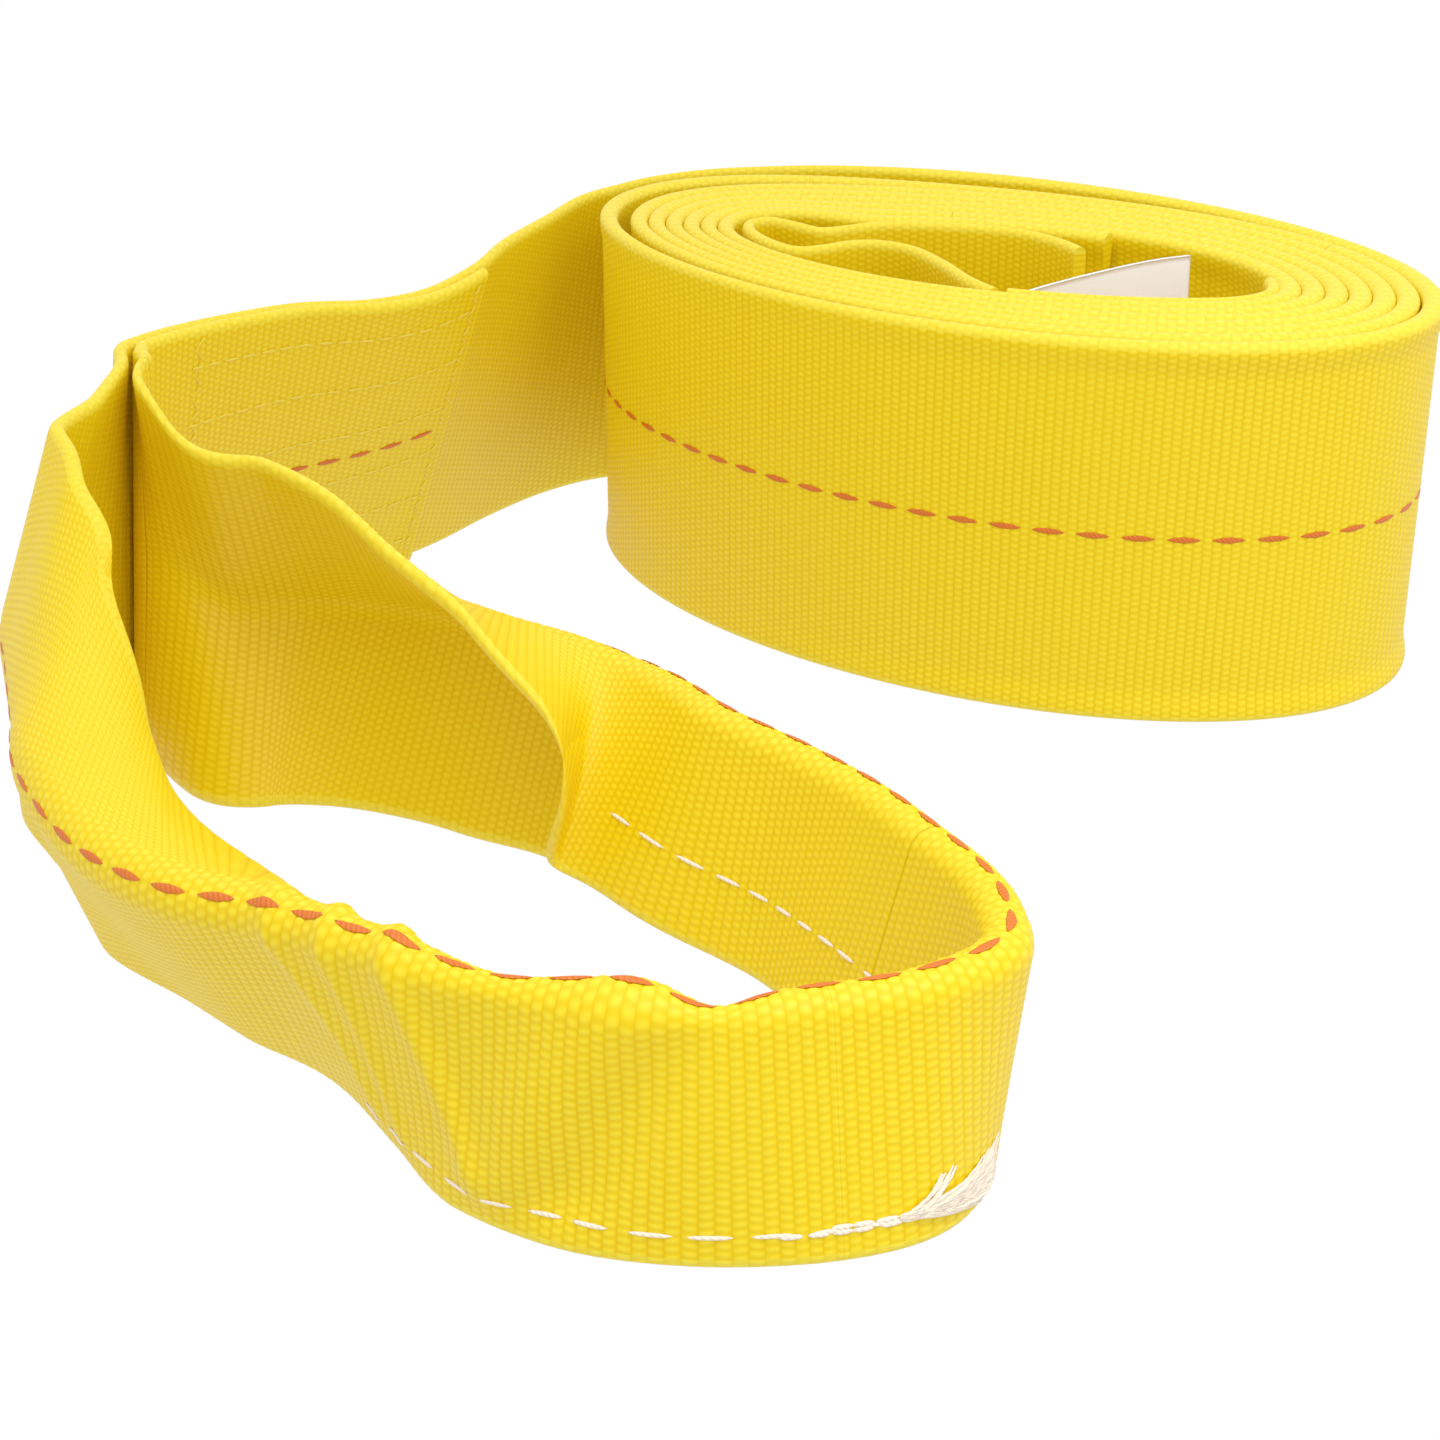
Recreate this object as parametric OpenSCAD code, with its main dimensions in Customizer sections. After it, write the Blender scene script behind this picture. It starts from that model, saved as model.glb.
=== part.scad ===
// Flat webbing lifting sling with two folded eyes, rolled up on edge.
// Origin: centre of the coil, on the floor. Every edge of the webbing stands on z = 0.

/* [Webbing] */
// Width of the flat webbing
web_w = 76; // [64:1:84]
// Thickness of one ply of webbing
web_t = 2.8; // [2.2:0.1:2.8]
// Air left between two plies that lie together
ply_gap = 0.5; // [0.4:0.1:0.6]

/* [Coil] */
// Longest outside measure of the coil
coil_len = 188; // [180:1:200]
// Outside measure of the coil across its middle
coil_wid = 118; // [114:1:130]
// Turn of the coil's long side about the upright axis
coil_yaw = -36.5; // [-60:0.5:-20]
// Distance from one wrap to the next where they lie loose
wrap_pitch = 4.6; // [4.6:0.1:5]
// How much closer the wraps lie at the tight side
tight_side = 1.5; // [1:0.1:1.5]
// How much further apart the wraps lie at the loose end
loose_end = 1.6; // [0:0.1:2]
// Extra room behind the outermost wrap, where the lead leaves
rear_slack = 11; // [6:0.5:12]

/* [Eyes] */
// Distance from the fold's middle line to the end of its bend, along the web
fold_half = 3.7; // [3.5:0.1:5]

/* [Stitching] */
// Thickness of the lap stitching thread
thread_d = 0.9; // [0.6:0.1:1.2]
// Length of one stitch of the lap
lap_stitch = 5; // [4:0.5:7]
// Length of one stitch of the white fold seam, with its gap
seam_stitch = 7; // [5:0.5:9]
// Distance of the white seam from the selvedge
seam_inset = 6; // [4:0.5:9]

/* [Tracer] */
// Distance from one tracer float to the next
tracer_pitch = 8.4; // [7:0.2:11]
// Length of one tracer float
tracer_len = 5.6; // [4:0.2:7]
// Width of one tracer float
tracer_w = 1.2; // [1:0.1:1.6]

/* [Tag] */
// Length of the tag beyond its sewn edge
tag_len = 44; // [36:1:46]
// Height of the tag
tag_h = 38; // [30:1:38]
// Thickness of the tag
tag_t = 0.9; // [0.6:0.1:1.4]

/* [Hidden] */

// Plan positions are laid out for 76 mm webbing and grow with its width.
layout_w = 76;
scale_xy = web_w / layout_w;
half_w = web_w / 2;
steps = 4;                     // samples between two rows of a course
ply_step = web_t + ply_gap;    // from the middle of one ply to the middle of the next
tracer_rise = 0.5;             // height of a tracer float above the web's face
thread_gap = 0.3;              // clearance between a thread and the web's face
seam_thread = 1.6;             // thickness of the white seam thread
lap_row_step = 12;             // distance from one stitch row of the lap to the next
cross_stitch_half = 0.05;      // half the breadth of a crosswise stitch, in rows
cross_share = 0.36;            // half the length of a crosswise stitch, as a share of lap_stitch
seam_share = 0.72;             // length of one seam stitch without its gap, as a share
tag_stitch = 4;                // length of one stitch at the tag's root

web_yellow = [0.93, 0.80, 0.12];
thread_yellow = [0.95, 0.88, 0.45];
tracer_orange = [0.88, 0.48, 0.12];
thread_white = [0.96, 0.93, 0.86];
tag_white = [0.95, 0.95, 0.93];

// ---- Coil: an oval spiral, clockwise inwards from the lead ----
coil_start = 158;              // angle on the oval from which the turns are counted
lead_out = 0.03;               // turn at which the lead leaves the coil
tracer_end = 0.98;             // turn at which the outermost wrap's tracer goes under
first_lap_free = 0.85;         // turns that keep to the outside oval
second_wrap_drop = 2.4;        // extra depth at which the second wrap starts
rear_angle = 130;              // middle of the slack behind the outermost wrap
tight_angle = -115;            // middle of the side where the wraps lie tight
loose_angle = 160;             // middle of the end where they lie loose
lap_in = 6.38;                 // turn at which the second lap begins
mouth_in = 6.64;               // turn at which the second eye's legs part
fold_in = 7.23;                // turn at which the second eye's fold begins
leg_gap = 0.006;               // gap, in turns, between the coil and that eye's outer leg
turn_steps = 36;               // flat facets in one turn

function smoothstep(t) = let (c = min(max(t, 0), 1)) c * c * (3 - 2 * c);
function turned(p, a) = [p[0] * cos(a) - p[1] * sin(a), p[0] * sin(a) + p[1] * cos(a)];
function lobe(angle, middle) = pow(max(0, cos(angle - middle)), 2);

// Point on the middle of the spiral after phi turns, moved inwards by inset
function coil_point(phi, inset = 0) =
    let (
        angle = coil_start - 360 * phi,
        pitch = wrap_pitch - tight_side * lobe(angle, tight_angle)
            + loose_end * pow(lobe(angle, loose_angle), 2),
        slack = rear_slack * lobe(angle, rear_angle) * smoothstep((phi - 0.72) / 0.4),
        drop = second_wrap_drop * smoothstep((phi - 0.95) / 0.25),
        depth = pitch * max(0, phi - first_lap_free) + drop + slack + web_t / 2 + inset
    )
    turned([(coil_len / 2 - depth) * cos(angle), (coil_wid / 2 - depth) * sin(angle)], coil_yaw)
        * scale_xy;

// ---- Courses: rows of [x, y, lower tilt, upper tilt, rake] along the tracer line ----
// The tilts lean the lower and upper half of the web out of upright, towards the eye's inside.
// The rake carries the upper selvedge along the web.
lead_rows = [
    [-45.3, 69.6, 0, 0, 0], [-57, 68, 1, 1, 0], [-69, 66, 5, 5, 0], [-81.5, 62.5, 10, 10, 0],
    [-93, 52.4, 12, 12, 0], [-102.6, 36.4, 15, 15, 0], [-111.5, 19, 17, 17, 0],
    [-118.5, 6, 21, 21, 0], [-127, -4, 24, 24, 0], [-137, -14.5, 23, 23, 0],
    [-148.5, -27.5, 18, 18, 0], [-159, -43, 14, 14, 0], [-165.5, -57, 10, 10, 0],
    [-168.3, -69.8, 5, 5, 0]
];
lap_first_row = 7;             // row of the lead beside which the lapped end begins
lead_last = len(lead_rows) - 1;

near_rows = [
    [-170.1, -72.3, 5, 5, 0], [-172.4, -81.6, 6, 11, -2], [-178, -94, 6, 19, -1],
    [-181.2, -112.7, 1, 19, 0], [-176.2, -131.2, -6, 22, -7], [-170.5, -151, -16, 27, -18],
    [-165.5, -168.8, -19, 45, -25], [-153.5, -188.2, -29, 75, -27], [-138.5, -202.4, -29, 99, -26],
    [-122.7, -210.6, -24, 126, -15], [-106.8, -221.7, -12, 158, -4], [-93.3, -230.2, 0, 180, 0],
    [-76.8, -236.2, 8, 190, 0], [-60.8, -240.3, 7, 188, 0], [-44, -237, 12, 192, 0]
];
bearing_rows = [
    [-44, -237, 12, 192, 0], [-30.5, -233, 8, 187, 0], [-19, -223.7, -5, 174, 0],
    [-18, -213, -8, 170, 0], [-20.4, -202, -14, 167, 0], [-25.7, -190.5, -17, 164, 0]
];
far_rows = [
    [-25.7, -190.5, -17, 164, 0], [-33.3, -176, -19, 161, -1], [-43.5, -162.3, -19, 161, -4],
    [-56.3, -148.6, -17, 158, -2], [-64, -135.3, -22, 149, -1], [-72, -123.8, -28, 131, -10],
    [-81.7, -116.5, -26, 100, -19], [-93, -110, -26, 76, -19], [-103.6, -103.3, -26, 59, -18],
    [-118.2, -93.5, -33, 42, -10], [-133.3, -87.4, -40, 28, 0], [-147, -86.9, -40, 22, 2],
    [-157, -85.2, -18, 9, 1], [-163.2, -81, -6, -4, 0], [-166.2, -74.6, -5, -5, 0]
];
eye_rows = concat(
    near_rows,
    [for (i = [1:len(bearing_rows) - 1]) bearing_rows[i]],
    [for (i = [1:len(far_rows) - 1]) far_rows[i]]
);
near_last = len(near_rows) - 1;
bearing_last = near_last + len(bearing_rows) - 1;
eye_last = len(eye_rows) - 1;
seam_first = 10;               // rows of the eye between which its fold is sewn shut
seam_end = bearing_last + 4;
backtack_row = near_last + 0.8;

function spline_point(a, b, c, d, t) =
    0.5 * (2 * b + (c - a) * t + (2 * a - 5 * b + 4 * c - d) * t * t
        + (3 * b - a - 3 * c + d) * t * t * t);

// Point of the smooth course through the rows; at = 2.5 is halfway from row 2 to row 3
function course_at(rows, at) =
    let (
        last = len(rows) - 1,
        i = min(floor(at), last - 1),
        before = i == 0 ? 2 * rows[0] - rows[1] : rows[i - 1],
        after = i == last - 1 ? 2 * rows[last] - rows[last - 1] : rows[i + 2],
        p = spline_point(before, rows[i], rows[i + 1], after, at - i)
    )
    [p[0] * scale_xy, p[1] * scale_xy, p[2], p[3], p[4] * scale_xy];

// Unit vector across the web, in plan, at a place on the course
function across(rows, at, side) =
    let (
        last = len(rows) - 1,
        a = course_at(rows, max(0, at - 0.05)),
        b = course_at(rows, min(last, at + 0.05)),
        dx = b[0] - a[0], dy = b[1] - a[1], l = sqrt(dx * dx + dy * dy)
    )
    side * [-dy / l, dx / l];

// ---- Cross-section: two flat halves joined by a bend about the tracer line ----
// Gives [across, up, tangent angle, rake share] at distance w from the tracer line
function section_at(w, low, up, rake) =
    let (
        middle = (low + up) / 2,
        turn = (up - low) / 2 + 0.01,
        rate = turn / fold_half,
        rad = rate * PI / 180,
        bent = min(max(w, -fold_half), fold_half),
        angle = middle + rate * bent,
        beyond = w - bent,
        share = w > fold_half ? beyond / (half_w - fold_half) : 0,
        keep = w > fold_half ? sqrt(1 - pow(rake / half_w, 2)) : 1
    )
    [
        (cos(middle) - cos(angle)) / rad + beyond * keep * sin(angle),
        (sin(angle) - sin(middle)) / rad + beyond * keep * cos(angle),
        angle,
        share * rake
    ];

// The same place moved out by n, at right angles to the web
function face_at(w, n, low, up, rake) =
    let (s = section_at(w, low, up, rake)) [s[0] + n * cos(s[2]), s[1] - n * sin(s[2]), s[3]];

web_stops = concat([-half_w, -half_w / 2], [for (i = [-3:3]) i * fold_half / 3], [half_w / 2, half_w]);

// Height that puts the lowest corner of the section on the floor
function section_lift(low, up, rake) =
    -min([for (w = [-half_w, 0, half_w], n = [-web_t / 2, web_t / 2]) face_at(w, n, low, up, rake)[1]]);

// Point in space: place on the course, distance from the tracer line, distance from mid web
function web_point(rows, at, w, n, side, shift) =
    let (
        c = course_at(rows, at),
        side_dir = across(rows, at, side),
        f = face_at(w, n, c[2], c[3], c[4]),
        reach = f[0] + shift
    )
    [
        c[0] + side_dir[0] * reach + side * side_dir[1] * f[2],
        c[1] + side_dir[1] * reach - side * side_dir[0] * f[2],
        f[1] + section_lift(c[2], c[3], c[4])
    ];

// Closed band swept along a course: stops are the distances from the tracer line of its
// corners, n_in and n_out the faces' distances from mid web
module band(rows, places, stops, n_in, n_out, side = 1, shift = 0) {
    m = len(stops);
    ring = 2 * m;
    pts = [
        for (at = places)
            for (k = [0:ring - 1])
                k < m ? web_point(rows, at, stops[k], n_in, side, shift)
                      : web_point(rows, at, stops[ring - 1 - k], n_out, side, shift)
    ];
    last = (len(places) - 1) * ring;
    walls = [
        for (i = [0:len(places) - 2])
            for (k = [0:ring - 1])
                let (a = i * ring + k, b = i * ring + (k + 1) % ring)
                each [[a, b, b + ring], [a, b + ring, a + ring]]
    ];
    ends = [
        for (k = [0:m - 2])
            let (a = k, b = k + 1, c = ring - 2 - k, d = ring - 1 - k)
            each [[a, c, b], [a, d, c], [last + a, last + b, last + c], [last + a, last + c, last + d]]
    ];
    faces = concat(walls, ends);
    polyhedron(pts, side > 0 ? [for (f = faces) [f[0], f[2], f[1]]] : faces);
}

function places(first, last, n = steps) =
    let (count = round((last - first) * n)) [for (i = [0:count]) first + (last - first) * i / count];

// ---- Rows of small bars on a face: stitches and tracer floats ----
// Length of the course between two places
function run(rows, a, b, side, w, n = 6) =
    let (p = [for (i = [0:n]) web_point(rows, a + (b - a) * i / n, w, 0, side, 0)])
    norm_sum([for (i = [1:n]) norm(p[i] - p[i - 1])]);
function norm_sum(v, i = 0) = i == len(v) ? 0 : v[i] + norm_sum(v, i + 1);

module bar_row(rows, first, last, pitch, bar, w, height, n_in, n_out, side = 1, shift = 0) {
    spans = max(1, round((last - first) * 2));
    for (s = [0:spans - 1]) {
        a = first + (last - first) * s / spans;
        b = first + (last - first) * (s + 1) / spans;
        count = max(1, round(run(rows, a, b, side, w) / pitch));
        for (i = [0:count - 1]) {
            start = a + (b - a) * (i + 0.5 - bar / pitch / 2) / count;
            end = a + (b - a) * (i + 0.5 + bar / pitch / 2) / count;
            band(rows, [start, (start + end) / 2, end], [w - height / 2, w + height / 2],
                n_in, n_out, side, shift);
        }
    }
}

// ---- The second eye, pressed together inside the coil ----
// Plan of its inner leg, from the mouth to where its fold begins
inner_leg_rows = [
    [-3.8, -34.2], [-8, -26], [-12, -14], [-17, -3], [-23.5, 2.5], [-30, 2.5], [-36, -1],
    [-42, -2.2], [-47.5, 4.6], [-50.8, 13], [-51, 20], [-46.5, 22.5], [-41, 18], [-36, 13.5],
    [-30, 15.5], [-24, 18.3], [-17, 18.8], [-8, 17.4], [2, 14.2], [8, 10.6], [12.5, 5.6],
    [15.5, 0.5], [17, -3]
];
// Its folded part: from the inner leg round the bearing to the outer leg
inner_fold_rows = [
    [17.2, -3.6, 0, 180, 0], [19.2, -10.5, 0, 180, 0], [22.3, -16.4, 0, 180, 0],
    [26, -21, 0, 180, 0], [30.8, -24, 0, 180, 0], [36.2, -24.4, 0, 180, 0],
    [40.8, -22.2, 0, 180, 0], [43.6, -18.2, 0, 180, 0], [42.8, -13.2, 0, 180, 0],
    [38, -7.6, 0, 180, 0], [32.2, -0.8, 0, 180, 0], [24.5, 5.4, 0, 180, 0]
];
inner_fold_last = len(inner_fold_rows) - 1;

// ---- Webbing ----
// Outline of one ply standing along a plan line given by its centre points
function ply_outline(line, thick = web_t) =
    let (
        last = len(line) - 1,
        aside = [for (i = [0:last])
            let (d = line[min(i + 1, last)] - line[max(i - 1, 0)]) [-d[1], d[0]] / norm(d)]
    )
    concat(
        [for (i = [0:last]) line[i] - aside[i] * thick / 2],
        [for (i = [last:-1:0]) line[i] + aside[i] * thick / 2]
    );

function coil_line(from, to, inset = 0) =
    let (first = floor(from * turn_steps) + 1, last = ceil(to * turn_steps) - 1)
    [for (phi = concat([from], [for (i = [first:last]) i / turn_steps], [to])) coil_point(phi, inset)];

function flat_rows(rows) = [for (r = rows) [r[0], r[1], 0, 0, 0]];
function plan_line(rows, n = steps) =
    [for (at = places(0, len(rows) - 1, n)) let (c = course_at(flat_rows(rows), at)) [c[0], c[1]]];

module standing_ply(line) {
    color(web_yellow) linear_extrude(web_w) polygon(ply_outline(line));
}

module coil_webbing() standing_ply(coil_line(lead_out, mouth_in));

module inner_lap_webbing() standing_ply(coil_line(lap_in, mouth_in, ply_step));

module inner_eye_outer_leg() standing_ply(coil_line(mouth_in + leg_gap, fold_in));

module inner_eye_inner_leg() standing_ply(plan_line(inner_leg_rows));

module swept_ply(rows, first, last, shift = 0, n = steps) {
    color(web_yellow)
        band(rows, places(first, last, n), web_stops, web_t / 2, -web_t / 2, 1, shift);
}

module inner_eye_bearing() swept_ply(inner_fold_rows, 0, inner_fold_last);

module lead_webbing() swept_ply(lead_rows, 0, lead_last, -ply_step / 2);

module lap_webbing() swept_ply(lead_rows, lap_first_row, lead_last, ply_step / 2);

module near_leg_webbing() swept_ply(eye_rows, 0, near_last);

module bearing_webbing() swept_ply(eye_rows, near_last, bearing_last);

module far_leg_webbing() swept_ply(eye_rows, bearing_last, eye_last);

// ---- Tracer: orange floats along the middle of the web's outer face ----
module coil_tracer() {
    line = coil_line(lead_out, mouth_in);
    facets = floor((tracer_end - lead_out) * turn_steps);
    color(tracer_orange)
        for (i = [0:facets - 1])
            let (
                d = line[i + 1] - line[i],
                gap = norm(d),
                count = max(1, round(gap / tracer_pitch))
            )
            translate([line[i][0], line[i][1], half_w])
                rotate(atan2(d[1], d[0]))
                    for (j = [0:count - 1])
                        translate([
                            gap * (j + 0.5) / count - tracer_len / 2,
                            web_t / 2 + thread_gap,
                            -tracer_w / 2
                        ])
                            cube([tracer_len, tracer_rise, tracer_w]);
}

module tracer_row(rows, first, last, side, shift = 0) {
    face = web_t / 2 + thread_gap;
    color(tracer_orange)
        bar_row(rows, first, last, tracer_pitch, tracer_len, 0, tracer_w,
            side > 0 ? -face : face + tracer_rise,
            side > 0 ? -face - tracer_rise : face, 1, shift);
}

module lap_tracer() tracer_row(lead_rows, lap_first_row, lead_last, -1, ply_step / 2);

module eye_tracer() tracer_row(eye_rows, 0, eye_last, 1);

// ---- Stitching ----
// Stitch rows run along the lap on both outside faces and across it at both ends
module lap_stitching() {
    first = lap_first_row + 0.12;
    last = lead_last - 0.3;
    front = ply_step / 2;
    face = web_t / 2 + thread_gap;
    color(thread_yellow) {
        for (w = [-2.5:1:2.5]) {
            bar_row(lead_rows, first, last, lap_stitch, lap_stitch - thread_d, w * lap_row_step,
                thread_d, face + thread_d, face, 1, front);
            bar_row(lead_rows, first, last, lap_stitch, lap_stitch - thread_d, w * lap_row_step,
                thread_d, -face, -face - thread_d, 1, -front);
        }
        for (at = [first, last])
            for (i = [1:floor(web_w / lap_stitch) - 1]) {
                w = -half_w + i * lap_stitch;
                if (abs(w) > lap_stitch * cross_share + tracer_w)
                    band(lead_rows, [at - cross_stitch_half, at + cross_stitch_half],
                        [w - lap_stitch * cross_share, w + lap_stitch * cross_share],
                        face + 1.5 * thread_d, face + thread_d / 2, 1, front);
            }
    }
}

module inner_lap_stitching() {
    line = coil_line(lap_in + 0.02, mouth_in - 0.02, ply_step + web_t / 2 + thread_gap);
    color(thread_yellow)
        for (i = [0:len(line) - 2])
            let (d = line[i + 1] - line[i])
            for (row = [-2.5:1:2.5])
                translate([line[i][0], line[i][1], half_w + row * lap_row_step])
                    rotate(atan2(d[1], d[0]))
                        translate([0.1 * norm(d), -thread_d, 0])
                            cube([0.8 * norm(d), thread_d, thread_d]);
}

seam_face = web_t / 2 + 2.5 * thread_gap;
seam_rise = seam_thread * 0.6;

// The fold's two selvedges are sewn through with thick white thread
module fold_seam(rows, first, last) {
    color(thread_white)
        for (w = [-1, 1] * (half_w - seam_inset))
            bar_row(rows, first, last, seam_stitch, seam_stitch * seam_share, w, seam_thread,
                -seam_face, -seam_face - seam_rise);
}

module eye_fold_seam() fold_seam(eye_rows, seam_first, seam_end);

module inner_eye_fold_seam() fold_seam(inner_fold_rows, 0.5, inner_fold_last - 0.5);

// The seam's thread ends: a short row of back-stitches and a few loose tails
module fold_seam_backtack() {
    color(thread_white) {
        for (k = [0:2])
            bar_row(eye_rows, backtack_row - 0.5, backtack_row + 0.4, 3, 2.3,
                -half_w + seam_inset + 2 + 2 * k, seam_thread,
                -seam_face, -seam_face - seam_rise);
        for (k = [0:4])
            band(eye_rows, [backtack_row - 0.35 + k * 0.16, backtack_row - 0.28 + k * 0.16],
                [-half_w + seam_inset + 7, -half_w + seam_inset + 11 + 2 * (k % 3)],
                -seam_face, -seam_face - seam_rise);
    }
}

// ---- Tag: a soft white label sewn in by one edge at the second lap ----
tag_rows = [[0.4, -32.6], [9, -26.6], [19, -20.6], [29, -15.6], [38.5, -12.4]];
tag_top = web_w + 1;

module identification_tag() {
    line = plan_line(tag_rows);
    color(tag_white)
        translate([0, 0, tag_top - tag_h])
            linear_extrude(tag_h)
                intersection() {
                    polygon(ply_outline(line, tag_t));
                    translate(line[0]) circle(tag_len);
                }
}

module tag_stitching() {
    root = plan_line(tag_rows)[0];
    aim = tag_rows[1] - tag_rows[0];
    color(thread_yellow)
        for (i = [0:floor((tag_h - 6) / tag_stitch) - 1], side = [-1, 1])
            translate([root[0], root[1], tag_top - tag_h + 3 + i * tag_stitch])
                rotate(atan2(aim[1], aim[0]))
                    translate([2, side * (tag_t / 2 + thread_gap + thread_d / 2) - thread_d / 2, 0])
                        cube([thread_d, thread_d, tag_stitch * 0.65]);
}

coil_webbing();
coil_tracer();
lead_webbing();
lap_webbing();
lap_tracer();
lap_stitching();
near_leg_webbing();
bearing_webbing();
far_leg_webbing();
eye_tracer();
eye_fold_seam();
fold_seam_backtack();
inner_lap_webbing();
inner_lap_stitching();
inner_eye_outer_leg();
inner_eye_inner_leg();
inner_eye_bearing();
inner_eye_fold_seam();
identification_tag();
tag_stitching();
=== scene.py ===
import math

import bpy
import numpy as np
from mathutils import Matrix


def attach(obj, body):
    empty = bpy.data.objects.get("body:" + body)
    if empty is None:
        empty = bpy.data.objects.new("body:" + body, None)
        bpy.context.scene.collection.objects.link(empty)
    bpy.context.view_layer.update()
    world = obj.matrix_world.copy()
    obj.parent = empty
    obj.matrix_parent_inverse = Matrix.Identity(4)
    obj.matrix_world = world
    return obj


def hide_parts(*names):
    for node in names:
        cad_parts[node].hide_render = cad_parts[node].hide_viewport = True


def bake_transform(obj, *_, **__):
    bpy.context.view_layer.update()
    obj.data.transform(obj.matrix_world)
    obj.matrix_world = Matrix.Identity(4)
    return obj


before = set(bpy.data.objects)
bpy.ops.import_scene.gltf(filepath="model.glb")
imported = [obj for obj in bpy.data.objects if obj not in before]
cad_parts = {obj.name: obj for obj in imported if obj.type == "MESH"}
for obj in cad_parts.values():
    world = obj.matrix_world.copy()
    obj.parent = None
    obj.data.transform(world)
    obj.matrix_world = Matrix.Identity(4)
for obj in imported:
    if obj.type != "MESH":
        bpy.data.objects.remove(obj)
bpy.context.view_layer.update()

# A flat webbing sling rolled up on edge. Lengths are in millimetres in the shape code and
# become metres when a mesh is made. The row frame: +X right, +Y away, +Z up.
MM = 0.001
rng = np.random.default_rng(7)

# ---- Webbing sizes, as in the part's source ----
WEB_W = 76.0            # width
WEB_T = 2.8             # thickness of one ply
PLY_STEP = 3.3          # middle of one ply to the middle of the next
HALF_W = WEB_W / 2
FOLD_HALF = 3.7         # half length of the fold's bend

TRACER_PITCH = 8.4      # from one float of the tracer yarn to the next

# ---- Weave relief ----
RIB = 1.8               # length of one crosswise rib, along the web
FINE_STEP = 0.6         # mesh step along the web where the photo shows it
PLAIN_STEP = 1.2        # and where it doesn't
WARP = 1.27             # distance between lengthwise yarn floats
RIB_RISE = 0.12
YARN_RISE = 0.07
SLANT = 0.14            # how much the floats lean, alternately, from rib to rib

BEAD_DEPTH = 7.0        # how far down from the selvedge the swelling reaches
BEAD_SHARE, BEAD_MAX = 0.5, 1.1   # its size, as a share of the gap between wraps, and its limit

# ---- Coil ----
COIL_LEN, COIL_WID, COIL_YAW = 188.0, 118.0, -36.5
COIL_START = 158.0
LEAD_OUT = 0.03         # turn at which the lead leaves the coil
FREE_TURNS = 0.85
WRAP_PITCH, TIGHT_SIDE, LOOSE_END = 4.6, 1.5, 1.6
SECOND_DROP, REAR_SLACK = 2.4, 11.0
LAP_IN, MOUTH_IN, FOLD_IN = 6.38, 6.64, 7.23
OUTER_TURNS = 1.3       # turns of the coil in the finely woven outer piece
COIL_SAMPLES = 500      # points along those turns
FULL_TURN = 127.0       # distance along the web where its outermost wrap begins
LEAD_CUT = 14.0         # how far before the lead's start the coil's piece ends
BEAD_FADE = 30.0        # length over which the swollen selvedge flattens before that

# ---- Stitching of the laps and of the second eye's seam ----
LAP_ROWS = 6            # lengthwise rows of a lap
LAP_ROW_STEP = 12       # from one of them to the next
LAP_PITCH = 5.0         # from one stitch to the next
LAP_MARGIN = 16         # from the crotch to the first stitches of the outer lap
CROSS_HALF = 14         # stitches of a crosswise row on each side of the middle
CROSS_STEP = 2.5        # from one of them to the next
SEAM_INSET = 6          # from the second eye's selvedges to the rows of its seam
SEAM_PITCH = 7.0        # from one stitch of that seam to the next

# ---- Creases of the near leg: s from the eye's start, w, lean, width, height on the outer face ----
CREASES = [
    (173, 10, -0.32, 2.0, 1.1), (184, 8, -0.45, 2.4, 1.3), (165, 0, -0.47, 2.2, 1.0),
    (223, 0, 0.6, 6.5, 1.7), (234, 0, 0.6, 5.0, -1.7), (203, -4, 0.2, 7.0, -1.1),
]
CREASE_TOP, CREASE_FOOT = 6.0, -34.0    # they fade out beyond these distances from the tracer line

# ---- Courses along the tracer line: x, y, lower tilt, upper tilt, rake of the selvedge ----
LEAD_ROWS = [
    (-45.3, 69.6, 0, 0, 0), (-57, 68, 1, 1, 0), (-69, 66, 5, 5, 0), (-81.5, 62.5, 10, 10, 0),
    (-93, 52.4, 12, 12, 0), (-102.6, 36.4, 15, 15, 0), (-111.5, 19, 17, 17, 0),
    (-118.5, 6, 21, 21, 0), (-127, -4, 24, 24, 0), (-137, -14.5, 23, 23, 0),
    (-148.5, -27.5, 18, 18, 0), (-159, -43, 14, 14, 0), (-165.5, -57, 10, 10, 0),
    (-168.3, -69.8, 5, 5, 0),
]
LAP_FIRST_ROW = 7
NEAR_ROWS = [
    (-170.1, -72.3, 5, 5, 0), (-172.4, -81.6, 6, 11, -2), (-178, -94, 6, 19, -1),
    (-181.2, -112.7, 1, 19, 0), (-176.2, -131.2, -6, 22, -7), (-170.5, -151, -16, 27, -18),
    (-165.5, -168.8, -19, 45, -25), (-153.5, -188.2, -29, 75, -27),
    (-138.5, -202.4, -29, 99, -26), (-122.7, -210.6, -24, 126, -15),
    (-106.8, -221.7, -12, 158, -4), (-93.3, -230.2, 0, 180, 0), (-76.8, -236.2, 8, 190, 0),
    (-60.8, -240.3, 7, 188, 0), (-44, -237, 12, 192, 0),
]
BEARING_ROWS = [
    (-44, -237, 12, 192, 0), (-30.5, -233, 8, 187, 0), (-19, -223.7, -5, 174, 0),
    (-18, -213, -8, 170, 0), (-20.4, -202, -14, 167, 0), (-25.7, -190.5, -17, 164, 0),
]
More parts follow.
